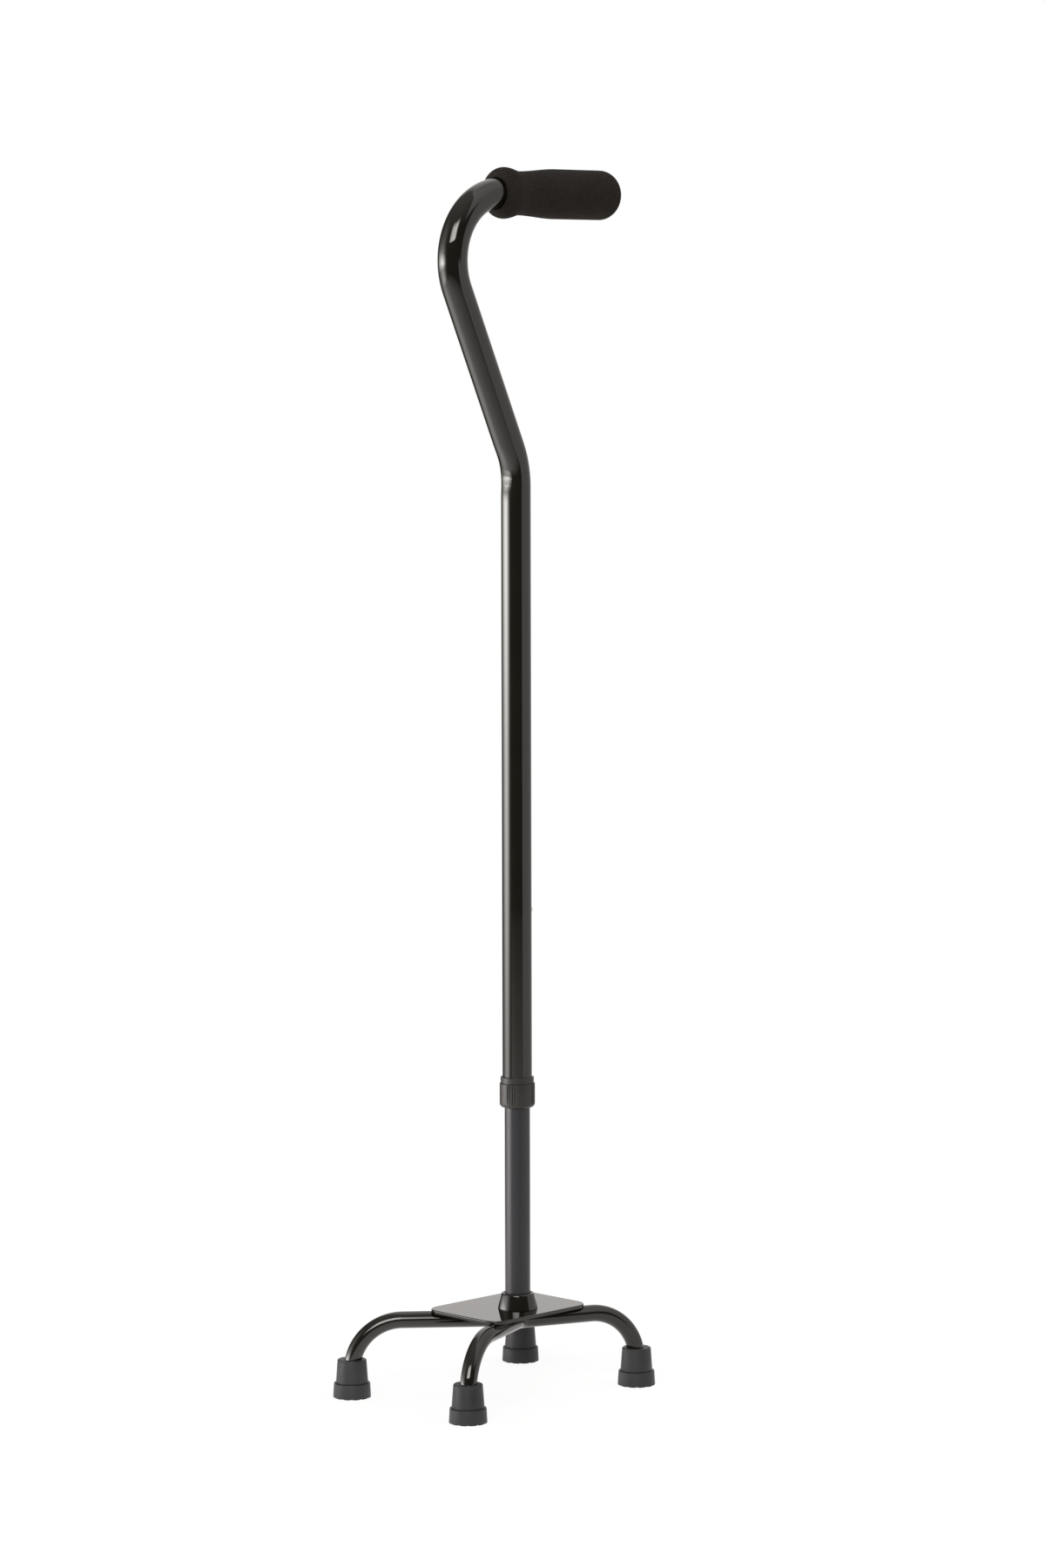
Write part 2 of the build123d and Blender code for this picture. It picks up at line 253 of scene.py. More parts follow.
class Specks(Effect):
    """Sparse lint and dust specks, as a mask."""

    name = "specks"
    inputs = {"Scale": 260.0, "Cover": 0.05}
    output = "Mask"
    core = 0.12

    def fill(self, nodes: Nodes, given: Sockets) -> Socket:
        """Keeps the middles of a few random cells.

        Args:
            nodes: The group's own tree.
            given: The sockets of the group's inputs.

        Returns:
            The mask.
        """
        cells = nodes.add("TexVoronoi", {"Vector": given["Vector"], "Scale": given["Scale"]})
        chosen = nodes.add("SeparateColor", {0: cells.outputs["Color"]})
        rare = nodes.maths("LESS_THAN", chosen.outputs[0], given["Cover"])
        middle = nodes.maths("LESS_THAN", cells.outputs["Distance"], self.core)
        return nodes.maths("MULTIPLY", rare, middle)


class FoamCells(Effect):
    """Open skin of foam rubber: high between its pores, with painted shade that darkens the low
    pores.
    """

    name = "foam_cells"
    inputs = {"Scale": 1500.0}
    smoothness = 0.35
    skin_detail = 5.0
    skin_ratio = 0.35
    skin_base = 0.4

    def fill(self, nodes: Nodes, given: Sockets) -> Socket:
        """Mixes small round cells with a rough skin.

        Args:
            nodes: The group's own tree.
            given: The sockets of the group's inputs.

        Returns:
            The height, which is also the tone, so the low pores get painted shade.
        """
        inputs = {
            "Vector": given["Vector"], "Scale": given["Scale"], "Smoothness": self.smoothness
        }
        cells = nodes.add("TexVoronoi", inputs, feature="SMOOTH_F1")
        skin_scale = nodes.maths("MULTIPLY", given["Scale"], self.skin_ratio)
        skin = nodes.noise(given["Vector"], skin_scale, self.skin_detail)
        pores = nodes.maths("SUBTRACT", 1.0, cells.outputs["Distance"])
        return nodes.maths("MULTIPLY", pores, nodes.maths("ADD", skin, self.skin_base))


class Streaks(Effect):
    """Long faint draw lines along Z, as on drawn and anodised tube."""

    name = "streaks"
    inputs = {"Across": 900.0, "Along": 6.0}
    detail = 3.0

    def fill(self, nodes: Nodes, given: Sockets) -> Socket:
        """Stretches a noise along Z.

        Args:
            nodes: The group's own tree.
            given: The sockets of the group's inputs.

        Returns:
            The tone.
        """
        across, along = given["Across"], given["Along"]
        stretch = nodes.add("CombineXYZ", {0: across, 1: across, 2: along})
        inputs = {0: given["Vector"], 1: stretch.outputs[0]}
        scaled = nodes.add("VectorMath", inputs, operation="MULTIPLY")
        return nodes.noise(scaled.outputs[0], 1.0, self.detail)


# --- Finishes ---


@dataclass(frozen=True)
class Effects:
    """The shared groups that the finishes place."""

    mottle: Mottle = field(default_factory=Mottle)
    grain: Grain = field(default_factory=Grain)
    specks: Specks = field(default_factory=Specks)
    foam: FoamCells = field(default_factory=FoamCells)
    streaks: Streaks = field(default_factory=Streaks)


class Coat:
    """A new material with its shader and the coordinates that its patterns follow."""

    def __init__(self, name: str, **constants: object) -> None:
        """Makes the material.

        Args:
            name: The material's name.
            **constants: Values of the shader's own inputs, with _ for each space.
        """
        self.material = bpy.data.materials.new(name)
        self.material.use_nodes = True
        self.nodes = Nodes(self.material.node_tree)
        self.shader = self.material.node_tree.nodes["Principled BSDF"]
        self.where = self.nodes.add("TexCoord").outputs["Object"]
        named = {label.replace("_", " "): value for label, value in constants.items()}
        self.nodes.feed(self.shader, named)

    def lay(self, effect: Effect, **values: float) -> Socket:
        """An effect, placed with this material's own values."""
        inputs = {"Vector": self.where, **values}
        return self.nodes.add("Group", inputs, node_tree=effect.tree).outputs[effect.output]

    def cover(
        self, colour: Socket, rough: Socket, height: Socket, depth: float
    ) -> bpy.types.Material:
        """Feeds the shader.

        Args:
            colour: Base colour.
            rough: Roughness.
            height: Height of the surface's relief, as a share.
            depth: Depth of that relief, in metres.

        Returns:
            The finished material.
        """
        bump = self.nodes.add("Bump", {"Distance": depth, "Height": height})
        inputs = {"Base Color": colour, "Roughness": rough, "Normal": bump.outputs["Normal"]}
        self.nodes.feed(self.shader, inputs)
        return self.material


@dataclass(frozen=True)
class Finish:
    """A coated, moulded or plated surface on the Principled shader."""

    name: str
    dark: Colour
    light: Colour
    rough_low: float
    rough_high: float
    tone_scale: float = 30.0
    rough_scale: float = 90.0
    grain_scale: float = 900.0
    grain_height: float = 0.00002
    metallic: float = 0.0
    ior: float = 1.5
    specular: float = 0.5
    speck_cover: float = 0.03
    speck_lift: float = 0.25
    streaks: bool = False

    def build(self, effects: Effects) -> bpy.types.Material:
        """Makes the material.

        Args:
            effects: The shared node groups.

        Returns:
            The finished material.
        """
        coat = Coat(
            self.name, IOR=self.ior, Specular_IOR_Level=self.specular, Metallic=self.metallic
        )
        maths = coat.nodes.maths
        tone = coat.lay(effects.mottle, Scale=self.tone_scale, Low=0.0, High=1.0)
        if self.streaks:
            tone = maths("MULTIPLY", tone, coat.lay(effects.streaks))
        colour = coat.nodes.blend(tone, (*self.dark, 1.0), (*self.light, 1.0))
        rough = coat.lay(
            effects.mottle, Scale=self.rough_scale, Low=self.rough_low, High=self.rough_high
        )
        specks = coat.lay(effects.specks, Cover=self.speck_cover)
        rough = maths("ADD", rough, maths("MULTIPLY", specks, self.speck_lift))
        grain = coat.lay(effects.grain, Scale=self.grain_scale)
        return coat.cover(colour, rough, grain, self.grain_height)


@dataclass(frozen=True)
class FoamFinish:
    """Matte closed-cell foam rubber."""

    name: str = "foam_rubber"
    dark: Colour = (0.0085, 0.0070, 0.0060)
    light: Colour = (0.0235, 0.0200, 0.0175)
    patch_scale: float = 60.0
    patch_low: float = 0.6
    patch_high: float = 1.2
    rough_scale: float = 200.0
    rough_low: float = 0.82
    rough_high: float = 0.95
    specular: float = 0.1
    cell_scale: float = 1300.0
    cell_depth: float = 0.00018

    def build(self, effects: Effects) -> bpy.types.Material:
        """Makes the foam's material.

        Args:
            effects: The shared node groups.

        Returns:
            The finished material.
        """
        coat = Coat(self.name, Specular_IOR_Level=self.specular)
        cells = coat.lay(effects.foam, Scale=self.cell_scale)
        patches = coat.lay(
            effects.mottle, Scale=self.patch_scale, Low=self.patch_low, High=self.patch_high
        )
        # The cells' height also sets the colour: painted shade, darker in the low pores.
        tone = coat.nodes.maths("MULTIPLY", cells, patches)
        colour = coat.nodes.blend(tone, (*self.dark, 1.0), (*self.light, 1.0))
        rough = coat.lay(
            effects.mottle, Scale=self.rough_scale, Low=self.rough_low, High=self.rough_high
        )
        return coat.cover(colour, rough, cells, self.cell_depth)


class FinishKind(Enum):
    """Every finish on the cane."""

    GLOSS_PAINT = Finish(
        "gloss_black_paint", (0.0040, 0.0034, 0.0016), (0.0058, 0.0049, 0.0026), 0.03, 0.06,
        grain_scale=300.0, grain_height=0.0000004, speck_cover=0.004, speck_lift=0.1,
    )
    SATIN_TUBE = Finish(
        "satin_black_anodising", (0.0125, 0.0122, 0.0145), (0.0215, 0.0210, 0.0250), 0.29, 0.35,
        grain_scale=2500.0, grain_height=0.000004, specular=0.36, streaks=True,
    )
    COLLAR_PLASTIC = Finish(
        "moulded_collar_plastic", (0.0150, 0.0138, 0.0128), (0.0225, 0.0208, 0.0195), 0.32, 0.42,
        grain_scale=1500.0, grain_height=0.000004, specular=0.32, speck_cover=0.0,
    )
    TIP_RUBBER = Finish(
        "moulded_tip_rubber", (0.0145, 0.0147, 0.0162), (0.0245, 0.0250, 0.0270), 0.42, 0.55,
        grain_scale=1200.0, grain_height=0.000007, specular=0.3, speck_cover=0.01,
    )
    NYLON = Finish(
        "black_nylon", (0.020, 0.020, 0.020), (0.032, 0.032, 0.032), 0.38, 0.5,
    )
    ZINC = Finish(
        "zinc_plate", (0.50, 0.50, 0.48), (0.66, 0.66, 0.64), 0.22, 0.38, metallic=1.0,
    )
    SPRING_STEEL = Finish(
        "blued_spring_steel", (0.20, 0.20, 0.22), (0.34, 0.34, 0.36), 0.24, 0.4, metallic=1.0,
    )
    FOAM = FoamFinish()


# --- The studio: camera, floor and light ---


@dataclass(frozen=True)
class Viewpoint:
    """Camera as solved for the object's own view, in metres and degrees."""

    place: tuple[float, float, float] = (-2.5584, -2.5571, 0.8008)
    azimuth: float = -45.36
    pitch_down: float = 5.36
    roll: float = -0.13
    sensor: float = 36.0
    focal_length: float = 111.36
    view_depth: float = 50.0

    def axes(self) -> tuple[Vector, Vector, Vector]:
        """Right, up and backward axes of the camera."""
        turn, dip = math.radians(self.azimuth), math.radians(self.pitch_down)
        back = Vector(
            (math.sin(turn) * math.cos(dip), -math.cos(turn) * math.cos(dip), math.sin(dip))
        )
        level = Vector((math.cos(turn), math.sin(turn), 0.0))
        upright = back.cross(level)
        lean = math.radians(self.roll)
        right = level * math.cos(lean) + upright * math.sin(lean)
        return right, back.cross(right), back

    def build(self) -> None:
        """Adds the camera and makes it the scene's."""
        right, up, back = self.axes()
        data = bpy.data.cameras.new("camera")
        data.sensor_fit = "AUTO"
        data.sensor_width = self.sensor
        data.lens = self.focal_length
        data.clip_end = self.view_depth
        camera = bpy.data.objects.new("camera", data)
        bpy.context.scene.collection.objects.link(camera)
        turn = Matrix((right, up, back)).transposed().to_4x4()
        camera.matrix_world = Matrix.Translation(Vector(self.place)) @ turn
        bpy.context.scene.camera = camera

    def level_axes(self) -> tuple[Vector, Vector]:
        """Level directions from the object towards the camera and to its right."""
        right, _, back = self.axes()
        near = Vector((back.x, back.y, 0.0)).normalized()
        side = Vector((right.x, right.y, 0.0)).normalized()
        return near, side


@dataclass
class Studio:
    """White cove with a tall bright box at the left, dark flags and a white wall at the right.

    Angles are in degrees round the object, 0 towards the camera and positive to its right.
    """

    viewpoint: Viewpoint
    tint: Colour = (1.0, 0.965, 0.945)
    floor_radius: float = 3.0
    floor_sides: int = 180
    floor_front: float = 44.0
    floor_side_radius: float = 0.62
    floor_tone: float = 0.10
    floor_rough: float = 0.9
    floor_glow: float = 0.90
    # Painted bounce light in the floor's glow for the object, set by distance from the middle and
    # by angle round it.
    painted_bounce_reach: Curve = (
        (0.0, 1.0), (0.45, 1.05), (0.9, 1.0), (1.2, 0.88), (1.5, 0.75), (1.9, 0.52),
        (2.15, 0.42), (2.6, 0.25), (3.0, 0.12),
    )
    painted_bounce_turn: Curve = (
        (-180, 1.0), (-60, 1.25), (-44, 1.45), (-27, 1.3), (-12, 1.1), (2, 0.97), (30, 0.93),
        (44, 1.0), (180, 1.0),
    )
    wall: Curve = (
        (-180, 1.12), (-168, 1.1), (-156, 0.62), (-150, 0.06), (-130, 0.08), (-56, 0.10),
        (-38, 0.16), (-20, 0.13), (38, 0.12), (44, 0.16), (47, 1.25), (60, 1.2), (90, 1.05),
        (120, 0.76), (150, 0.64), (168, 1.1), (180, 1.12),
    )
    flag: Curve = ((-180, 0.0), (40, 0.0), (46, 0.9), (65, 0.9), (74, 0.0), (180, 0.0))
    flag_rise: Curve = ((-0.02, 0.0), (0.04, 1.0), (0.42, 1.0), (0.5, 0.0))
    box: Curve = (
        (-180, 0.0), (-136, 0.0), (-122, 0.14), (-110, 0.36), (-97, 0.78), (-86, 1.0),
        (-76, 0.98), (-68, 0.62), (-60, 0.28), (-50, 0.04), (-44, 0.0), (180, 0.0),
    )
    box_strength: float = 15.0
    box_rise: Curve = (
        (-0.50, 0.0), (-0.42, 0.20), (-0.33, 0.40), (-0.25, 0.35), (-0.15, 0.32),
        (-0.132, 0.42), (-0.11, 0.57), (-0.085, 0.70), (-0.047, 1.1), (0.0, 1.0), (0.08, 0.6),
        (0.15, 0.25), (0.3, 0.10), (0.5, 0.06), (0.7, 0.0),
    )
    top_box: Curve = (
        (-180, 0.0), (-38, 0.0), (-30, 0.45), (-22, 0.85), (-2, 1.0), (5, 0.9), (12, 0.0),
        (180, 0.0),
    )
    top_box_strength: float = 12.0
    top_box_rise: Curve = ((0.30, 0.0), (0.365, 0.0), (0.385, 1.0), (0.64, 0.9), (0.74, 0.0))
    ground: Curve = ((-0.60, 1.0), (-0.42, 0.95), (-0.30, 0.0))
    ground_turn: Curve = (
        (-180, 0.6), (-150, 0.1), (-136, 0.15), (-118, 2.0), (-98, 3.4), (-84, 2.9), (-61, 1.8),
        (-44, 1.5), (-27, 1.3), (0, 1.0), (180, 1.0),
    )
    ceiling: Curve = ((0.45, 0.0), (0.75, 0.3), (1.0, 0.5))

    def make_floor(self) -> None:
        """Adds the pale floor, a disc that ends unseen in the white, with a glow of painted bounce
        light for the object.
        """
        deselect_all()
        bpy.ops.mesh.primitive_circle_add(
            vertices=self.floor_sides, radius=self.floor_radius, fill_type="NGON"
        )
        floor = bpy.context.object
        floor.name = "floor"
        near, side = self.viewpoint.level_axes()
        edit(floor)
        pick(
            floor,
            lambda place: abs(math.degrees(math.atan2(place.dot(side), place.dot(near))))
            > self.floor_front,
        )
        scale_round(self.floor_side_radius / self.floor_radius)
        leave_edit()
        coat = Coat(
            "floor_white",
            Base_Color=(*(self.floor_tone,) * 3, 1.0),
            Roughness=self.floor_rough,
            Specular_IOR_Level=0.0,
            Emission_Strength=1.0,
        )
        nodes, where = coat.nodes, coat.where
        # Painted bounce light: for the object the floor glows brighter near the middle and towards
        # the box's side; the camera sees plain white.
        reach = nodes.add("VectorMath", {0: where}, operation="LENGTH").outputs["Value"]
        bounce = nodes.maths(
            "MULTIPLY",
            self.curve(nodes, reach, self.painted_bounce_reach),
            self.curve(nodes, self.heading(nodes, where), self.painted_bounce_turn),
        )
        glow = self.seen_as(nodes, bounce, self.floor_glow)
        nodes.feed(coat.shader, {"Emission Color": glow})
        floor.data.materials.append(coat.material)

    def curve(self, nodes: Nodes, source: Socket, points: Curve) -> Socket:
        """Adds a piecewise straight curve through points.

        Args:
            nodes: The tree that is filled.
            source: The socket that drives the curve.
            points: Place and value of each point, in order.

        Returns:
            The curve's value.
        """
        low, high = points[0][0], points[-1][0]
        top = max(value for _, value in points)
        stops = [((place - low) / (high - low), value / top) for place, value in points]
        return nodes.maths("MULTIPLY", nodes.ramp(nodes.remap(source, (low, high)), stops), top)

    def heading(self, nodes: Nodes, where: Socket) -> Socket:
        """Angle round the object of a place or direction, in degrees.

        Args:
            nodes: The tree that is filled.
            where: The place or direction.

        Returns:
            The angle, 0 towards the camera and positive to its right.
        """
        near, side = (
            nodes.add("VectorMath", {0: where, 1: axis}, operation="DOT_PRODUCT").outputs["Value"]
            for axis in self.viewpoint.level_axes()
        )
        return nodes.maths("DEGREES", nodes.maths("ARCTAN2", side, near))

    def seen_as(self, nodes: Nodes, glow: Socket, white: float) -> Socket:
        """Tinted light for the object, plain white for the camera.

        Args:
            nodes: The tree that is filled.
            glow: Brightness of the light that reaches the object.
            white: Brightness that the camera sees.

        Returns:
            The colour.
        """
        inputs = {0: self.tint, "Scale": glow}
        tinted = nodes.add("VectorMath", inputs, operation="SCALE").outputs["Vector"]
        to_camera = nodes.add("LightPath").outputs["Is Camera Ray"]
        return nodes.blend(to_camera, tinted, (white, white, white, 1.0))

    def make_world(self) -> None:
        """White for the camera; the boxes, flags and walls for light and reflections."""
        world = bpy.data.worlds.new("studio")
        bpy.context.scene.world = world
        world.use_nodes = True
        nodes = Nodes(world.node_tree)
        where = nodes.add("TexCoord").outputs["Generated"]
        turn = self.heading(nodes, where)
        rise = nodes.add("SeparateXYZ", {0: where}).outputs[2]

        def patch(across: Curve, upward: Curve) -> Socket:
            """A patch of light from a curve round the object and one up it."""
            return nodes.maths(
                "MULTIPLY", self.curve(nodes, turn, across), self.curve(nodes, rise, upward)
            )

        shade = nodes.maths("SUBTRACT", 1.0, patch(self.flag, self.flag_rise))
        wall = nodes.maths("MULTIPLY", self.curve(nodes, turn, self.wall), shade)
        box, top_box = patch(self.box, self.box_rise), patch(self.top_box, self.top_box_rise)
        lit = nodes.maths("MULTIPLY_ADD", box, self.box_strength, wall)
        lit = nodes.maths("MAXIMUM", lit, patch(self.ground_turn, self.ground))
        lit = nodes.maths("MULTIPLY_ADD", top_box, self.top_box_strength, lit)
        total = nodes.maths("ADD", lit, self.curve(nodes, rise, self.ceiling))
        background = world.node_tree.nodes["Background"]
        nodes.feed(background, {"Color": self.seen_as(nodes, total, 1.0), "Strength": 1.0})

    def build(self) -> None:
        """Adds camera, floor and world."""
        self.viewpoint.build()
        self.make_floor()
        self.make_world()
        bpy.context.scene.view_settings.view_transform = "Standard"


# --- Ways of making shapes with the modelling operators ---


@dataclass(frozen=True)
class Station:
    """A ring of a turned piece: its radius, height and shift along X, in metres."""

    radius: float
    height: float
    shift: float = 0.0


def rounded(corners: list[tuple[float, float, float]], steps: int = 5) -> list[Station]:
    """Rounds the corners of a turned outline.

    Args:
        corners: Radius, height and rounding of each corner, in order.
        steps: Pieces of each rounding.

    Returns:
        The outline's stations.
    """
    stations: list[Station] = []
    for place, (radius, height, fillet) in enumerate(corners):
        here = Vector((radius, height))
        if fillet <= 0.0:
            stations.append(Station(radius, height))
            continue
        before = (Vector(corners[place - 1][:2]) - here).normalized()
        after = (Vector(corners[place + 1][:2]) - here).normalized()
        half = before.angle(after) / 2
        reach = fillet / math.tan(half)
        centre = here + (before + after).normalized() * (fillet / math.sin(half))
        start, end = here + before * reach - centre, here + after * reach - centre
        for step in range(steps + 1):
            point = centre + start.slerp(end, step / steps).normalized() * fillet
            stations.append(Station(point.x, point.y))
    return stations


def arc(
    centre: tuple[float, float], radius: float, start: float, end: float, steps: int
) -> list[tuple[float, float]]:
    """Points of an arc in a turned outline.

    Args:
        centre: The arc's centre, as distance from the axis and height.
        radius: The arc's radius.
        start: Its first angle in radians, from straight out.
        end: Its last angle.
        steps: Pieces of the arc.

    Returns:
        The points from start to end, each as distance from the axis and height.
    """
    turns = [start + (end - start) * step / steps for step in range(steps + 1)]
    out, up = centre
    return [(out + radius * math.cos(turn), up + radius * math.sin(turn)) for turn in turns]


def edit(piece: Piece) -> None:
    """Opens an object for mesh editing with nothing selected.

    Args:
        piece: The object.
    """
    make_active(piece)
    bpy.ops.object.mode_set(mode="EDIT")
    bpy.ops.mesh.select_all(action="DESELECT")
    bpy.ops.mesh.select_mode(type="VERT")


def leave_edit() -> None:
    """Goes back to object mode."""
    bpy.ops.object.mode_set(mode="OBJECT")


def pick(piece: Piece, test: Callable[[Vector], bool]) -> int:
    """Selects the vertices that pass a test, with the object in edit mode.

    Args:
        piece: The object that is being edited.
        test: Says whether a vertex at a place is wanted.

    Returns:
        How many vertices are selected.
    """
    bpy.ops.object.mode_set(mode="OBJECT")
    flags = [test(vertex.co) for vertex in piece.data.vertices]
    piece.data.polygons.foreach_set("select", [False] * len(piece.data.polygons))
    piece.data.edges.foreach_set("select", [False] * len(piece.data.edges))
    piece.data.vertices.foreach_set("select", flags)
    bpy.ops.object.mode_set(mode="EDIT")
    return sum(flags)


def scale_round(ratio: float) -> None:
    """Scales what is selected about the Z axis."""
    bpy.ops.transform.resize(value=(ratio, ratio, 1.0), center_override=(0, 0, 0))


def tidy_mesh(piece: Piece, merge: float = MERGE) -> None:
    """Merges doubles and turns the faces outwards.

    Args:
        piece: The piece.
        merge: Distance within which vertices are merged.
    """
    edit(piece)
    bpy.ops.mesh.select_all(action="SELECT")
    bpy.ops.mesh.remove_doubles(threshold=merge)
    bpy.ops.mesh.normals_make_consistent(inside=False)
    bpy.ops.mesh.select_all(action="DESELECT")
    leave_edit()


def smooth(piece: Piece, angle: float) -> None:
    """Shades smooth up to an angle in degrees."""
    make_active(piece)
    bpy.ops.object.shade_smooth_by_angle(angle=math.radians(angle))


def apply_modifier(piece: Piece, kind: str, **values: object) -> None:
    """Adds a modifier, sets it and applies it.

    Args:
        piece: The object.
        kind: The modifier's type.
        **values: The modifier's settings.
    """
    make_active(piece)
    modifier = piece.modifiers.new(kind.lower(), kind)
    for name, value in values.items():
        setattr(modifier, name, value)
    bpy.ops.object.modifier_apply(modifier=modifier.name)


def cut_holes(
    piece: Piece,
    places: list[tuple[float, float, float]],
    radius: float,
    depth: float,
    rotation: tuple[float, float, float],
    sides: int,
) -> None:
    """Cuts round holes in a piece.

    Args:
        piece: The piece.
        places: Middle of each cut.
        radius: Radius of the holes.
        depth: Length of the cuts.
        rotation: Turn of the cuts from the Z axis.
        sides: Vertices round a hole.
    """
    deselect_all()
    cutters = []
    for place in places:
        bpy.ops.mesh.primitive_cylinder_add(
            vertices=sides, radius=radius, depth=depth, location=place, rotation=rotation
        )
        cutters.append(bpy.context.object)
    make_active(cutters[0])
    if len(cutters) > 1:
        for cutter in cutters:
            cutter.select_set(True)
        bpy.ops.object.join()
    bpy.ops.object.transform_apply(location=True, rotation=True, scale=True)
    apply_modifier(piece, "BOOLEAN", operation="DIFFERENCE", object=cutters[0], solver="EXACT")
    bpy.data.objects.remove(cutters[0])


def place_mesh(piece: Piece, where: Matrix) -> None:
    """Moves a finished mesh to its place, leaving the object at the origin.

    Args:
        piece: The finished mesh.
        where: Its place and turn.
    """
    make_active(piece)
    piece.matrix_world = where
    bpy.ops.object.transform_apply(location=True, rotation=True, scale=True)


def start_ring(
    name: str, sides: int, radius: float, place: Vector, turn: tuple[float, float, float]
) -> Piece:
    """Adds a circle and opens it for editing, all selected.

    Args:
        name: The new piece's name.
        sides: Vertices round the circle.
        radius: The circle's radius.
        place: Its centre.
        turn: Its rotation.

    Returns:
        The new object.
    """
    deselect_all()
    bpy.ops.mesh.primitive_circle_add(
        vertices=sides, radius=radius, location=place, rotation=turn
    )
    piece = bpy.context.object
    piece.name = name
    bpy.ops.object.transform_apply(location=True, rotation=True, scale=True)
    bpy.ops.object.mode_set(mode="EDIT")
    bpy.ops.mesh.select_all(action="SELECT")
    return piece


def turned(name: str, stations: list[Station], sides: int) -> Piece:
    """Makes a turned piece about the Z axis by extruding and scaling a circle.

    Args:
        name: The piece's name.
        stations: Its rings in order. A radius of zero at either end closes that end.
        sides: Vertices round a ring.

    Returns:
        The new object.
    """
    first, last = stations[0], stations[-1]
    start = Vector((first.shift, 0.0, first.height))
    piece = start_ring(name, sides, max(first.radius, POLE_RADIUS), start, (0.0, 0.0, 0.0))
    if first.radius <= 0.0:
        bpy.ops.mesh.edge_face_add()
    for before, after in zip(stations, stations[1:]):
        step = (after.shift - before.shift, 0.0, after.height - before.height)
        bpy.ops.mesh.extrude_region_move(TRANSFORM_OT_translate={"value": step})
        ratio = max(after.radius, POLE_RADIUS) / max(before.radius, POLE_RADIUS)
        bpy.ops.transform.resize(
            value=(ratio, ratio, 1.0), center_override=(after.shift, 0.0, after.height)
        )
    if last.radius <= 0.0 < first.radius:
        bpy.ops.mesh.edge_face_add()
    leave_edit()
    tidy_mesh(piece, POLE_MERGE if min(first.radius, last.radius) <= 0.0 else MERGE)
    return piece


@dataclass(frozen=True)
class Corner:
    """A corner of a tube's centreline, in metres, with its bend radius and steps."""

    place: Vector
    radius: float = 0.0
    steps: int = 1


def bent_tube(
    name: str, corners: list[Corner], radius: float, sides: int, run_step: float
) -> Piece:
    """Makes a bent tube's outer wall by extruding and spinning a circle along its line.

    Args:
        name: The piece's name.
        corners: The centreline's corners, in order.
        radius: The tube's outer radius.
        sides: Vertices round the tube.
        run_step: Longest stretch of straight tube between two rings.

    Returns:
        The new object, open at both ends.
    """
    place, heading = corners[0].place, (corners[1].place - corners[0].place).normalized()
    turn = Vector((0.0, 0.0, 1.0)).rotation_difference(heading)
    piece = start_ring(name, sides, radius, place, turn.to_euler())
    for corner, following in zip(corners[1:], [*corners[2:], None]):
        onward = (following.place - corner.place).normalized() if following else heading
        swing = heading.angle(onward) if following else 0.0
        tangent = corner.radius * math.tan(swing / 2)
        run = (corner.place - heading * tangent) - place
        pieces = max(1, math.ceil(run.length / run_step))
        for _ in range(pieces):
            step = tuple(run / pieces)
            bpy.ops.mesh.extrude_region_move(TRANSFORM_OT_translate={"value": step})
        if following:
            axis = heading.cross(onward).normalized()
            centre = place + run + axis.cross(heading) * corner.radius
            bpy.ops.mesh.spin(
                steps=corner.steps, angle=-swing, center=tuple(centre), axis=tuple(axis)
            )
            place = corner.place + onward * tangent
            heading = onward
    leave_edit()
    tidy_mesh(piece)
    return piece


# --- The cane ---


class Wardrobe:
    """Builds each finish once."""

    def __init__(self) -> None:
        """Starts with the shared effects and no finish."""
        self.effects = Effects()
        self.made: dict[FinishKind, bpy.types.Material] = {}

    def get(self, kind: FinishKind) -> bpy.types.Material:
        """The finish's material, built on its first use."""
        if kind not in self.made:
            self.made[kind] = kind.value.build(self.effects)
        return self.made[kind]


def middle(node: str) -> Vector:
    """The middle of a CAD node's box."""
    low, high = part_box(node)
    return (low + high) / 2


@dataclass
class Assembly:
    """A sub-assembly that is built in its place and dressed."""

    wardrobe: Wardrobe

    def build(self) -> list[Piece]:
        """The sub-assembly's finished pieces."""
        raise NotImplementedError

    def finish(self, piece: Piece, kind: FinishKind) -> Piece:
        """Gives a piece its material.

        Args:
            piece: The piece.
            kind: Its finish.

        Returns:
            The same piece.
        """
        piece.data.materials.clear()
        piece.data.materials.append(self.wardrobe.get(kind))
        return piece

    def dress(self, piece: Piece, kind: FinishKind, body: str, slot: str, node: str) -> Piece:
        """Dresses a piece and hands it to its body.

        Args:
            piece: The finished mesh, in place.
            kind: Its finish.
            body: The CAD body that it moves with.
            slot: The record's material slot; not used.
            node: The CAD node that it stands for.

        Returns:
            The same piece.
        """
        self.finish(piece, kind)
        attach(piece, body)
        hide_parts(node)
        return piece


def stand(piece: Piece, node: str) -> None:
    """Moves a piece made on the Z axis to where a CAD node stands."""
    axis = middle(node)
    place_mesh(piece, Matrix.Translation(Vector((axis.x, axis.y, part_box(node)[0].z))))


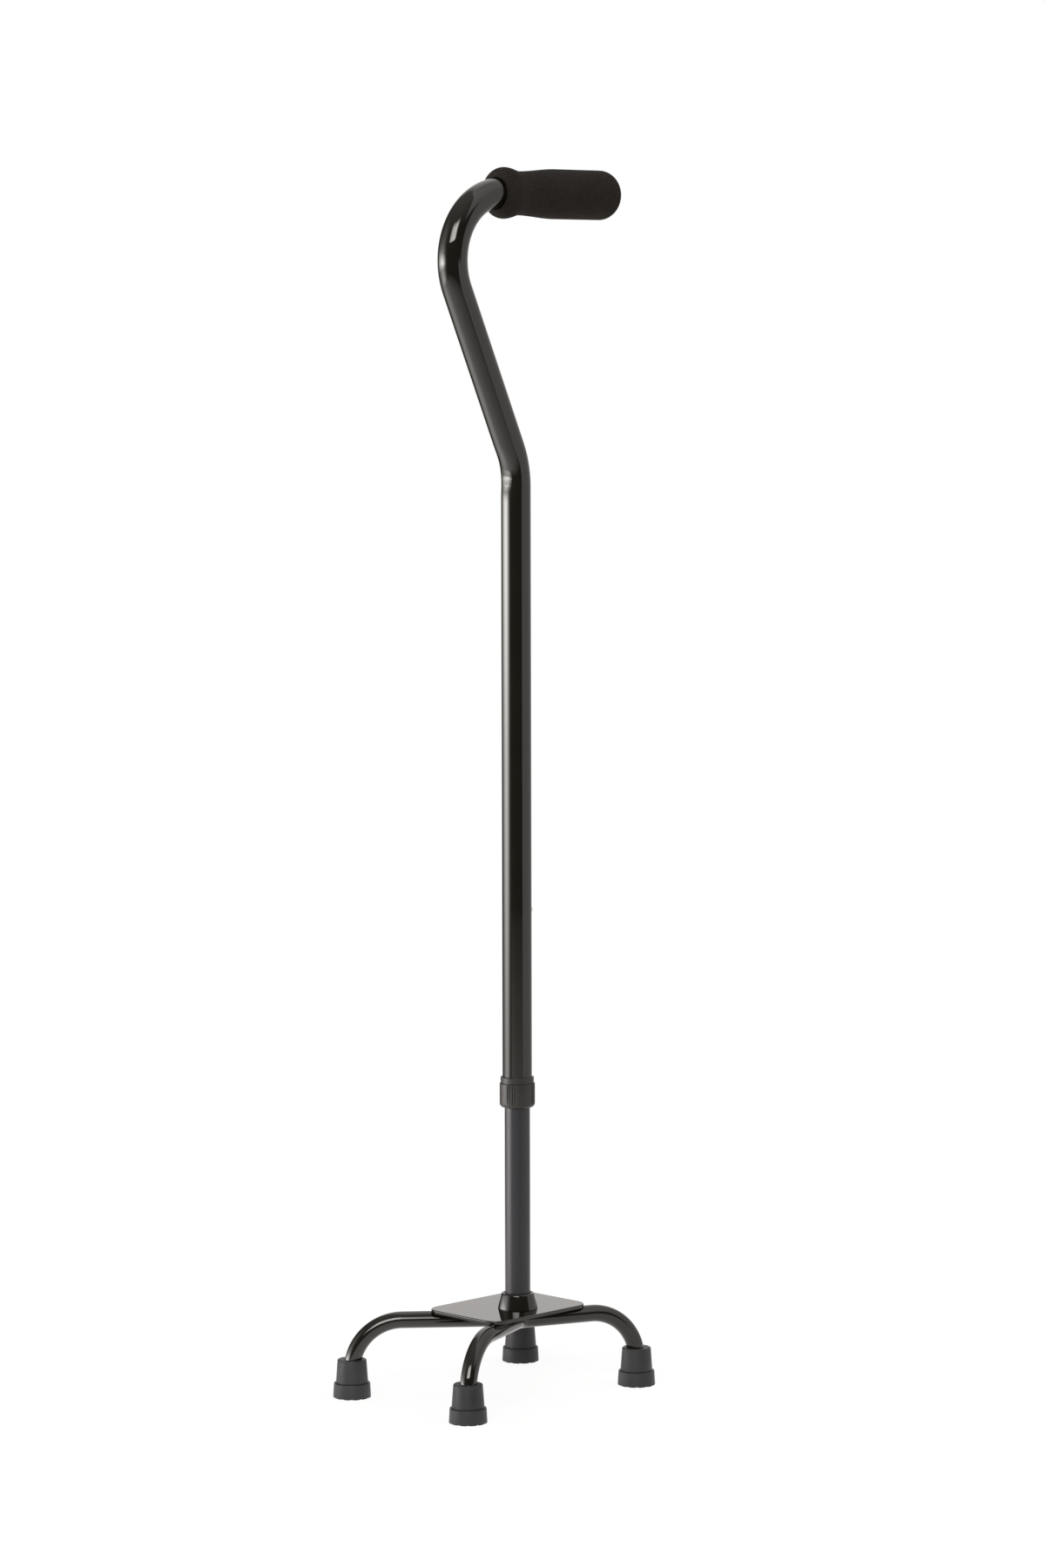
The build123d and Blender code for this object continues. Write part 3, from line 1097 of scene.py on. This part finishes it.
@dataclass
class SwanNeck(Assembly):
    """The outer tube: straight run with its hole row, swan neck and handle end."""

    radius: float = 0.0111125
    wall: float = 0.0014
    neck_radius: float = 0.0704
    neck_steps: int = 36
    crook_radius: float = 0.050
    crook_steps: int = 72
    slant: float = math.radians(25.0)
    neck_rise: float = 0.468
    sides: int = 112
    run_step: float = 0.004
    hole_radius: float = 0.0035
    hole_sides: int = 48
    hole_pitch: float = 0.01905
    holes_below: int = 5
    holes_above: int = 7
    cutter_length: float = 0.02
    cutter_middle: float = 0.016
    dent_height: float = 0.6806
    dent_profile: Curve = ((-0.003, 0.0), (0.0034, 0.5), (0.013, 1.0), (0.034, 0.0))
    dent_half_angle: float = math.radians(78.0)
    dent_depth: float = 0.0018
    dent_levels: int = 28
    smooth_angle: float = 40.0

    def centreline(self) -> list[Corner]:
        """The corners of the tube's centreline."""
        low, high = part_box("upper_tube")
        y = middle("lower_tube").y
        grip = middle("handle_end_plug").z
        neck = low.z + self.neck_rise
        reach = (grip - neck) * math.tan(self.slant)
        return [
            Corner(Vector((0.0, y, low.z))),
            Corner(Vector((0.0, y, neck)), self.neck_radius, self.neck_steps),
            Corner(Vector((-reach, y, grip)), self.crook_radius, self.crook_steps),
            Corner(Vector((high.x, y, grip))),
        ]

    def dent_share(self, along: float) -> float:
        """Share of the dent's depth at a height.

        Args:
            along: Height over the dent's foot.

        Returns:
            The share, eased from point to point of the profile.
        """
        for (low, start), (high, end) in zip(self.dent_profile, self.dent_profile[1:]):
            if low <= along <= high:
                ease = (1 - math.cos(math.pi * (along - low) / (high - low))) / 2
                return start + (end - start) * ease
        return 0.0

    def press_dent(self, tube: Piece) -> None:
        """Pinches the inner side of the lower bend, level by level.

        Args:
            tube: The tube.
        """
        y = middle("lower_tube").y
        step = (self.dent_depth / self.dent_levels, 0.0, 0.0)
        edit(tube)
        for level in range(self.dent_levels):
            share = (level + 0.5) / self.dent_levels

            def inside(place: Vector) -> bool:
                """Whether a place lies within this level's outline.

                Args:
                    place: A vertex of the piece.

                Returns:
                    True where it does.
                """
                off = math.atan2(abs(place.y - y), -place.x) / self.dent_half_angle
                round_tube = math.cos(min(off, 1.0) * math.pi / 2) ** 2
                return self.dent_share(place.z - self.dent_height) * round_tube > share

            if pick(tube, inside):
                bpy.ops.transform.translate(value=step)
        leave_edit()

    def drill(self, tube: Piece) -> None:
        """Cuts the row of height holes in the +X side.

        Args:
            tube: The tube.
        """
        button = middle("snap_button")
        places = [
            (self.cutter_middle, button.y, button.z + step * self.hole_pitch)
            for step in range(-self.holes_below, self.holes_above + 1)
        ]
        sideways = (0.0, math.pi / 2, 0.0)
        size = (self.hole_radius, self.cutter_length)
        cut_holes(tube, places, *size, sideways, self.hole_sides)

    def build(self) -> list[Piece]:
        """Makes the tube."""
        line = self.centreline()
        tube = bent_tube("swan_neck_tube", line, self.radius, self.sides, self.run_step)
        self.press_dent(tube)
        apply_modifier(tube, "SOLIDIFY", thickness=self.wall, offset=-1.0, use_even_offset=True)
        self.drill(tube)
        smooth(tube, self.smooth_angle)
        kind = FinishKind.GLOSS_PAINT
        return [self.dress(tube, kind, "upper", "gloss_black_tube", "upper_tube")]


@dataclass
class FoamGrip(Assembly):
    """The foam handle: rolled mouth, waist, full body and round end."""

    flange_radius: float = 0.01895
    flange_round: float = 0.0085
    flange_steps: int = 24
    waist_radius: float = 0.0162
    waist_place: float = 0.0235
    body_radius: float = 0.0185
    body_place: float = 0.062
    body_steps: int = 12
    curve_steps: int = 24
    end_round: float = 0.0130
    end_steps: int = 20
    end_wall: float = 0.006
    bore_radius: float = 0.0113
    bore_places: tuple[float, ...] = (0.06, 0.03, 0.012, 0.009, 0.0065, 0.004)
    mouth_round: float = 0.0012
    mouth_steps: int = 5
    bend_radius: float = 0.050
    bend_end: float = 0.0061
    sides: int = 144
    smooth_angle: float = 60.0

    def bore_ring(self, radius: float, place: float) -> Station:
        """A ring of the bore, which follows the tube where it starts to bend."""
        past = max(self.bend_end - place, 0.0)
        return Station(radius, place, past * past / (2 * self.bend_radius))

    def outline(self, length: float) -> list[Station]:
        """Stations from the bore's blind end, out of the mouth and over to the far end.

        Args:
            length: The grip's length.

        Returns:
            The stations, with height along the grip from its mouth.
        """
        blind, flat = length - self.end_wall, length - self.end_round
        rise, quarter = self.flange_round, math.pi / 2
        centre = self.flange_radius - rise
        mouth = self.bore_radius + self.mouth_round
        angle = math.acos((mouth - centre) / rise)
        roll_place = rise * (1.0 - math.sin(angle)) + self.mouth_round
        roll = arc(
            (mouth, roll_place), self.mouth_round, 2 * quarter, 3 * quarter, self.mouth_steps
        )
        flange = arc((centre, rise), rise, -angle, 0.0, self.flange_steps)
        stations = [Station(0.0, blind), Station(self.bore_radius, blind)]
        stations += [self.bore_ring(self.bore_radius, place) for place in self.bore_places]
        stations += [self.bore_ring(*point) for point in roll[1:-1]]
        stations += [Station(*point) for point in flange]
        knots = [
            (rise, self.flange_radius),
            (self.waist_place, self.waist_radius),
            (self.body_place, self.body_radius),
        ]
        for (start, low), (end, high) in zip(knots, knots[1:]):
            for step in range(1, self.curve_steps + 1):
                share = step / self.curve_steps
                ease = share * share * (3.0 - 2.0 * share)
                stations.append(Station(low + (high - low) * ease, start + (end - start) * share))
        for step in range(1, self.body_steps + 1):
            place = self.body_place + (flat - self.body_place) * step / self.body_steps
            stations.append(Station(self.body_radius, place))
        centre = self.body_radius - self.end_round
        dome = arc((centre, flat), self.end_round, 0.0, quarter, self.end_steps)
        stations += [Station(*point) for point in dome[1:]]
        return stations + [Station(centre / 2, length), Station(0.0, length)]

    def build(self) -> list[Piece]:
        """Makes the grip."""
        low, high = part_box("foam_grip")
        grip = turned("foam_hand_grip", self.outline(high.x - low.x), self.sides)
        axis = (low + high) / 2
        along = Matrix.Translation(Vector((low.x, axis.y, axis.z)))
        place_mesh(grip, along @ Matrix.Rotation(math.pi / 2, 4, "Y"))
        smooth(grip, self.smooth_angle)
        self.dress(grip, FinishKind.FOAM, "upper", "grip_foam", "foam_grip")
        return [grip]


@dataclass
class RubberTips(Assembly):
    """The four ferrules: ringed sole, notched edge, undercut step and plain cone."""

    sole_radius: float = 0.0142
    sole_inset: float = 0.0012
    sole_round: float = 0.00035
    sole_edge_height: float = 0.0016
    sole_draft: float = 0.00005
    step_radius: float = 0.01365
    step_height: float = 0.0110
    step_round: float = 0.0006
    undercut: float = 0.0005
    undercut_height: float = 0.0006
    undercut_slope: float = 0.0001
    cone_radius: float = 0.01215
    mouth_radius: float = 0.0109
    mouth_round: float = 0.0009
    bore_radius: float = 0.00645
    bore_floor: float = 0.0066
    bore_depths: tuple[float, ...] = (0.0, 0.0025, 0.005)
    leg_bend_start: float = 0.0200
    leg_bend_radius: float = 0.0380
    ring_radii: tuple[float, float] = (0.0050, 0.0090)
    ring_width: float = 0.0015
    ring_depth: float = 0.0012
    ring_slope: float = 0.0001
    notches: int = 12
    notch_depth: float = 0.0003
    notch_half_width: float = 0.17
    notch_reach: float = 0.0013
    notch_height: float = 0.0009
    flash: float = 0.00014
    flash_levels: int = 4
    flash_share: float = 0.45
    flash_waves: int = 4
    flash_counts: tuple[int, int] = (5, 17)
    flash_reach: float = 0.0006
    flash_height: float = 0.0017
    sides: int = 120
    seed: int = 7
    smooth_angle: float = 32.0

    def lean(self, height: float) -> float:
        """How far the leg has bent away from its foot at a height."""
        past = max(height - self.leg_bend_start, 0.0)
        return self.leg_bend_radius - math.sqrt(self.leg_bend_radius**2 - past**2)

    def outline(self, height: float) -> list[Station]:
        """Stations from the middle of the sole, up the outside and down the bore.

        Args:
            height: The tip's height.

        Returns:
            The stations.
        """
        corners = [(0.0, 0.0, 0.0)]
        for radius in self.ring_radii:
            end = radius + self.ring_width
            corners += [
                (radius, 0.0, 0.0),
                (radius + self.ring_slope, self.ring_depth, 0.0),
                (end - self.ring_slope, self.ring_depth, 0.0),
                (end, 0.0, 0.0),
            ]
        neck, neck_top = self.cone_radius - self.undercut, self.step_height + self.undercut_height
        corners += [
            (self.sole_radius - self.sole_inset, 0.0, 0.0),
            (self.sole_radius, 0.0, self.sole_round),
            (self.sole_radius - self.sole_draft, self.sole_edge_height, 0.0),
            (self.step_radius, self.step_height, self.step_round),
            (neck, self.step_height, 0.0),
            (neck, neck_top, 0.0),
            (self.cone_radius, neck_top + self.undercut_slope, 0.0),
            (self.mouth_radius, height, self.mouth_round),
            (self.bore_radius, height, 0.0),
        ]
        stations = rounded(corners)[:-1]
        levels = [height - depth for depth in self.bore_depths]
        for level in (*levels, self.leg_bend_start, self.bore_floor):
            stations.append(Station(self.bore_radius, level, self.lean(level)))
        stations.append(Station(0.0, self.bore_floor))
        return stations

    def cut_notches(self, tip: Piece) -> None:
        """Lifts the sole's edge at each notch.

        Args:
            tip: The tip.
        """
        span = 2 * math.pi / self.notches

        def in_notch(place: Vector) -> bool:
            """Whether a place lies on the sole's edge, within a notch.

            Args:
                place: A vertex of the piece.

            Returns:
                True where it does.
            """
            reach = math.hypot(place.x, place.y)
            if place.z > self.notch_height or reach < self.sole_radius - self.notch_reach:
                return False
            turn = math.atan2(place.y, place.x) % span
            return abs(turn - span / 2) < span * self.notch_half_width

        edit(tip)
        pick(tip, in_notch)
        bpy.ops.transform.translate(value=(0.0, 0.0, self.notch_depth))
        leave_edit()

    def roughen(self, tip: Piece, dice: random.Random) -> None:
        """Leaves a little moulding flash round the sole's edge.

        Args:
            tip: The tip.
            dice: Seeded random numbers.
        """
        waves = [
            (dice.randint(*self.flash_counts), dice.uniform(0, 2 * math.pi))
            for _ in range(self.flash_waves)
        ]
        edit(tip)
        for level in range(1, self.flash_levels + 1):

            def proud(place: Vector) -> bool:
                """Whether the flash stands proud at a place, at this level.

                Args:
                    place: A vertex of the piece.

                Returns:
                    True where it does.
                """
                reach = math.hypot(place.x, place.y)
                if place.z > self.flash_height or reach < self.sole_radius - self.flash_reach:
                    return False
                turn = math.atan2(place.y, place.x)
                height = sum(math.sin(count * turn + phase) for count, phase in waves)
                return height > level * self.flash_share

            if pick(tip, proud):
                scale_round(1.0 + self.flash / self.flash_levels / self.sole_radius)
        leave_edit()

    def build(self) -> list[Piece]:
        """Makes one tip and copies it to the four feet."""
        low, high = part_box("rubber_tip_front")
        model = turned("rubber_tip", self.outline(high.z - low.z), self.sides)
        self.cut_notches(model)
        dice = random.Random(self.seed)
        tips = []
        for side in ("front", "right", "left", "back"):
            node = f"rubber_tip_{side}"
            foot = middle(node)
            tip = model.copy()
            tip.data = model.data.copy()
            bpy.context.scene.collection.objects.link(tip)
            tip.name = f"ferrule_{side}"
            self.roughen(tip, dice)
            inward = Matrix.Rotation(math.pi if foot.x > 0 else 0.0, 4, "Z")
            place_mesh(tip, Matrix.Translation(Vector((foot.x, foot.y, 0.0))) @ inward)
            smooth(tip, self.smooth_angle)
            tips.append(self.dress(tip, FinishKind.TIP_RUBBER, "base", "tip_rubber", node))
        bpy.data.objects.remove(model)
        return tips


@dataclass
class LockCollar(Assembly):
    """The fluted nut: four groups of flutes, a chamfered top and a round foot."""

    radius: float = 0.01325
    foot_round: float = 0.0030
    foot_ring: float = 0.0004
    middle_ring: float = 0.6
    top_round: float = 0.0005
    floor: float = 0.00205
    bore: float = 0.009825
    thread_bore: float = 0.0121825
    round_steps: int = 8
    sides: int = 360
    groups: int = 4
    flutes: int = 4
    spacing: int = 9
    first_group: int = 25
    flute_start: float = 0.0002
    flute_reach: float = 0.0012
    depths: tuple[float, ...] = (0.00062, 0.00050, 0.00020)
    smooth_angle: float = 50.0

    def cut_flutes(self, nut: Piece, bottom: float, top: float) -> None:
        """Presses the flutes in, one column of vertices on each side of their middles.

        Args:
            nut: The nut, on the Z axis.
            bottom: Height where the flutes start.
            top: Height of the nut's top.
        """
        middles = set()
        for group in range(self.groups):
            for place in range(self.flutes):
                offset = place - (self.flutes - 1) / 2
                turn = self.first_group + group * 360 / self.groups + offset * self.spacing
                middles.add(round(turn) % 360)
        edit(nut)
        for reach, depth in enumerate(self.depths):
            columns = {(turn + side * reach) % 360 for turn in middles for side in (-1, 1)}

            def in_column(place: Vector) -> bool:
                """Whether a place lies on the outside, in one of the columns.

                Args:
                    place: A vertex of the piece.

                Returns:
                    True where it does.
                """
                if not bottom - MERGE < place.z < top + MERGE:
                    return False
                if math.hypot(place.x, place.y) < self.radius - self.flute_reach:
                    return False
                return round(math.degrees(math.atan2(place.y, place.x))) % 360 in columns

            if pick(nut, in_column):
                scale_round(1.0 - depth / self.radius)
        leave_edit()

    def build(self) -> list[Piece]:
        """Makes the nut."""
        low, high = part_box("lock_collar")
        height = high.z - low.z
        corners = [
            (self.bore, 0.0, 0.0),
            (self.radius, 0.0, self.foot_round),
            (self.radius, self.foot_round + self.foot_ring, 0.0),
            (self.radius, height * self.middle_ring, 0.0),
            (self.radius, height, self.top_round),
            (self.thread_bore, height, 0.0),
            (self.thread_bore, self.floor, 0.0),
            (self.bore, self.floor, 0.0),
            (self.bore, 0.0, 0.0),
        ]
        nut = turned("fluted_lock_nut", rounded(corners, self.round_steps), self.sides)
        self.cut_flutes(nut, self.foot_round + self.flute_start, height)
        stand(nut, "lock_collar")
        smooth(nut, self.smooth_angle)
        kind = FinishKind.COLLAR_PLASTIC
        return [self.dress(nut, kind, "collar", "collar_plastic", "lock_collar")]


@dataclass
class Hub(Assembly):
    """The tapered cup on the plate that holds the foot of the lower tube."""

    base_radius: float = 0.0150
    top_radius: float = 0.0123
    spigot_radius: float = 0.0120
    spigot_height: float = 0.0025
    rim_round: float = 0.0015
    toe: float = 0.0006
    toe_round: float = 0.0003
    bore: float = 0.009825
    floor: float = 0.0035
    relief: float = 0.0009
    relief_round: float = 0.0002
    round_steps: int = 6
    screw_radius: float = 0.00252
    screw_height: float = 0.0060
    screw_sides: int = 64
    sides: int = 128
    smooth_angle: float = 38.0

    def build(self) -> list[Piece]:
        """Makes the hub with its screw hole."""
        low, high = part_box("base_hub")
        height = high.z - low.z
        corners = [
            (0.0, 0.0, 0.0),
            (self.spigot_radius, 0.0, 0.0),
            (self.spigot_radius, self.spigot_height, 0.0),
            (self.base_radius, self.spigot_height, 0.0),
            (self.base_radius, self.spigot_height + self.toe, self.toe_round),
            (self.top_radius, height, self.rim_round),
            (self.bore + self.relief, height, self.relief_round),
            (self.bore, height - self.relief, 0.0),
            (self.bore, self.floor, 0.0),
            (0.0, self.floor, 0.0),
        ]
        hub = turned("shaft_hub", rounded(corners, self.round_steps), self.sides)
        stand(hub, "base_hub")
        axis = middle("base_hub")
        screw_z = low.z + self.spigot_height + self.screw_height
        screw = (axis.x, axis.y + self.base_radius, screw_z)
        rearward = (math.pi / 2, 0.0, 0.0)
        size = (self.screw_radius, self.base_radius)
        cut_holes(hub, [screw], *size, rearward, self.screw_sides)
        smooth(hub, self.smooth_angle)
        kind = FinishKind.GLOSS_PAINT
        return [self.dress(hub, kind, "base", "gloss_black_steel", "base_hub")]


@dataclass
class Legs(Assembly):
    """The two bent leg tubes under the plate."""

    radius: float = 0.00635
    wall: float = 0.0016
    height: float = 0.0580
    foot_bend: float = 0.0380
    foot_steps: int = 40
    crown_bend: float = 0.0160
    crown_steps: int = 28
    crown_gap: float = 0.0035
    front_crown_offset: float = 0.0030
    run_step: float = 0.02
    sides: int = 96
    smooth_angle: float = 40.0

    def centreline(self, side: int, crown_y: float, foot: Vector, end: float) -> list[Corner]:
        """The corners of one leg's centreline.

        Args:
            side: -1 for the front leg, +1 for the rear one.
            crown_y: Where the leg's crown passes under the plate.
            foot: Reach of the feet from the middle.
            end: Height of the tube's ends.

        Returns:
            The corners.
        """
        rise = foot.y - side * crown_y - self.crown_bend
        swing = math.asin(self.crown_bend / math.hypot(foot.x, rise))
        angle = math.atan2(rise, foot.x) + swing
        crown = Vector((0.0, side * (foot.y - foot.x * math.tan(angle)), self.height))
        y = side * foot.y
        return [
            Corner(Vector((-foot.x, y, end))),
            Corner(Vector((-foot.x, y, self.height)), self.foot_bend, self.foot_steps),
            Corner(crown, self.crown_bend, self.crown_steps),
            Corner(Vector((foot.x, y, self.height)), self.foot_bend, self.foot_steps),
            Corner(Vector((foot.x, y, end))),
        ]

    def build(self) -> list[Piece]:
        """Makes both legs."""
        foot = middle("rubber_tip_back")
        front_y = middle("lower_tube").y - self.front_crown_offset
        rear_y = front_y + 2 * self.radius + self.crown_gap
        kind = FinishKind.GLOSS_PAINT
        legs = []
        for node, side, crown_y in (("leg_tube_front", -1, front_y), ("leg_tube_rear", 1, rear_y)):
            line = self.centreline(side, crown_y, foot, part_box(node)[0].z)
            leg = bent_tube(f"bent_{node}", line, self.radius, self.sides, self.run_step)
            apply_modifier(leg, "SOLIDIFY", thickness=self.wall, offset=-1.0)
            smooth(leg, self.smooth_angle)
            legs.append(self.dress(leg, kind, "base", "gloss_black_steel", node))
        return legs


@dataclass
class Carried(Assembly):
    """CAD nodes that keep their shape and take a better material."""

    finishes: dict[str, FinishKind] = field(
        default_factory=lambda: {
            "base_plate": FinishKind.GLOSS_PAINT,
            "plate_welds": FinishKind.GLOSS_PAINT,
            "lower_tube": FinishKind.SATIN_TUBE,
            "collet_sleeve": FinishKind.COLLAR_PLASTIC,
            "snap_button": FinishKind.ZINC,
            "tip_washers": FinishKind.ZINC,
            "hub_screw": FinishKind.ZINC,
            "button_spring": FinishKind.SPRING_STEEL,
            "lower_tube_plug": FinishKind.NYLON,
            "guide_bush": FinishKind.NYLON,
            "handle_end_plug": FinishKind.NYLON,
        }
    )

    def build(self) -> list[Piece]:
        """Dresses each carried node."""
        return [self.finish(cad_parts[node], kind) for node, kind in self.finishes.items()]


def main() -> None:
    """Builds the studio and the cane, and reports each piece."""
    logging.basicConfig(level=logging.INFO, format="%(name)s: %(message)s")
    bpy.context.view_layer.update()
    Studio(Viewpoint()).build()
    wardrobe = Wardrobe()
    for maker in (Carried, Legs, Hub, LockCollar, RubberTips, SwanNeck, FoamGrip):
        for piece in maker(wardrobe).build():
            mesh = piece.data
            LOG.info("%s: %d faces, %s", piece.name, len(mesh.polygons), mesh.materials[0].name)


if __name__ == "__main__":
    main()
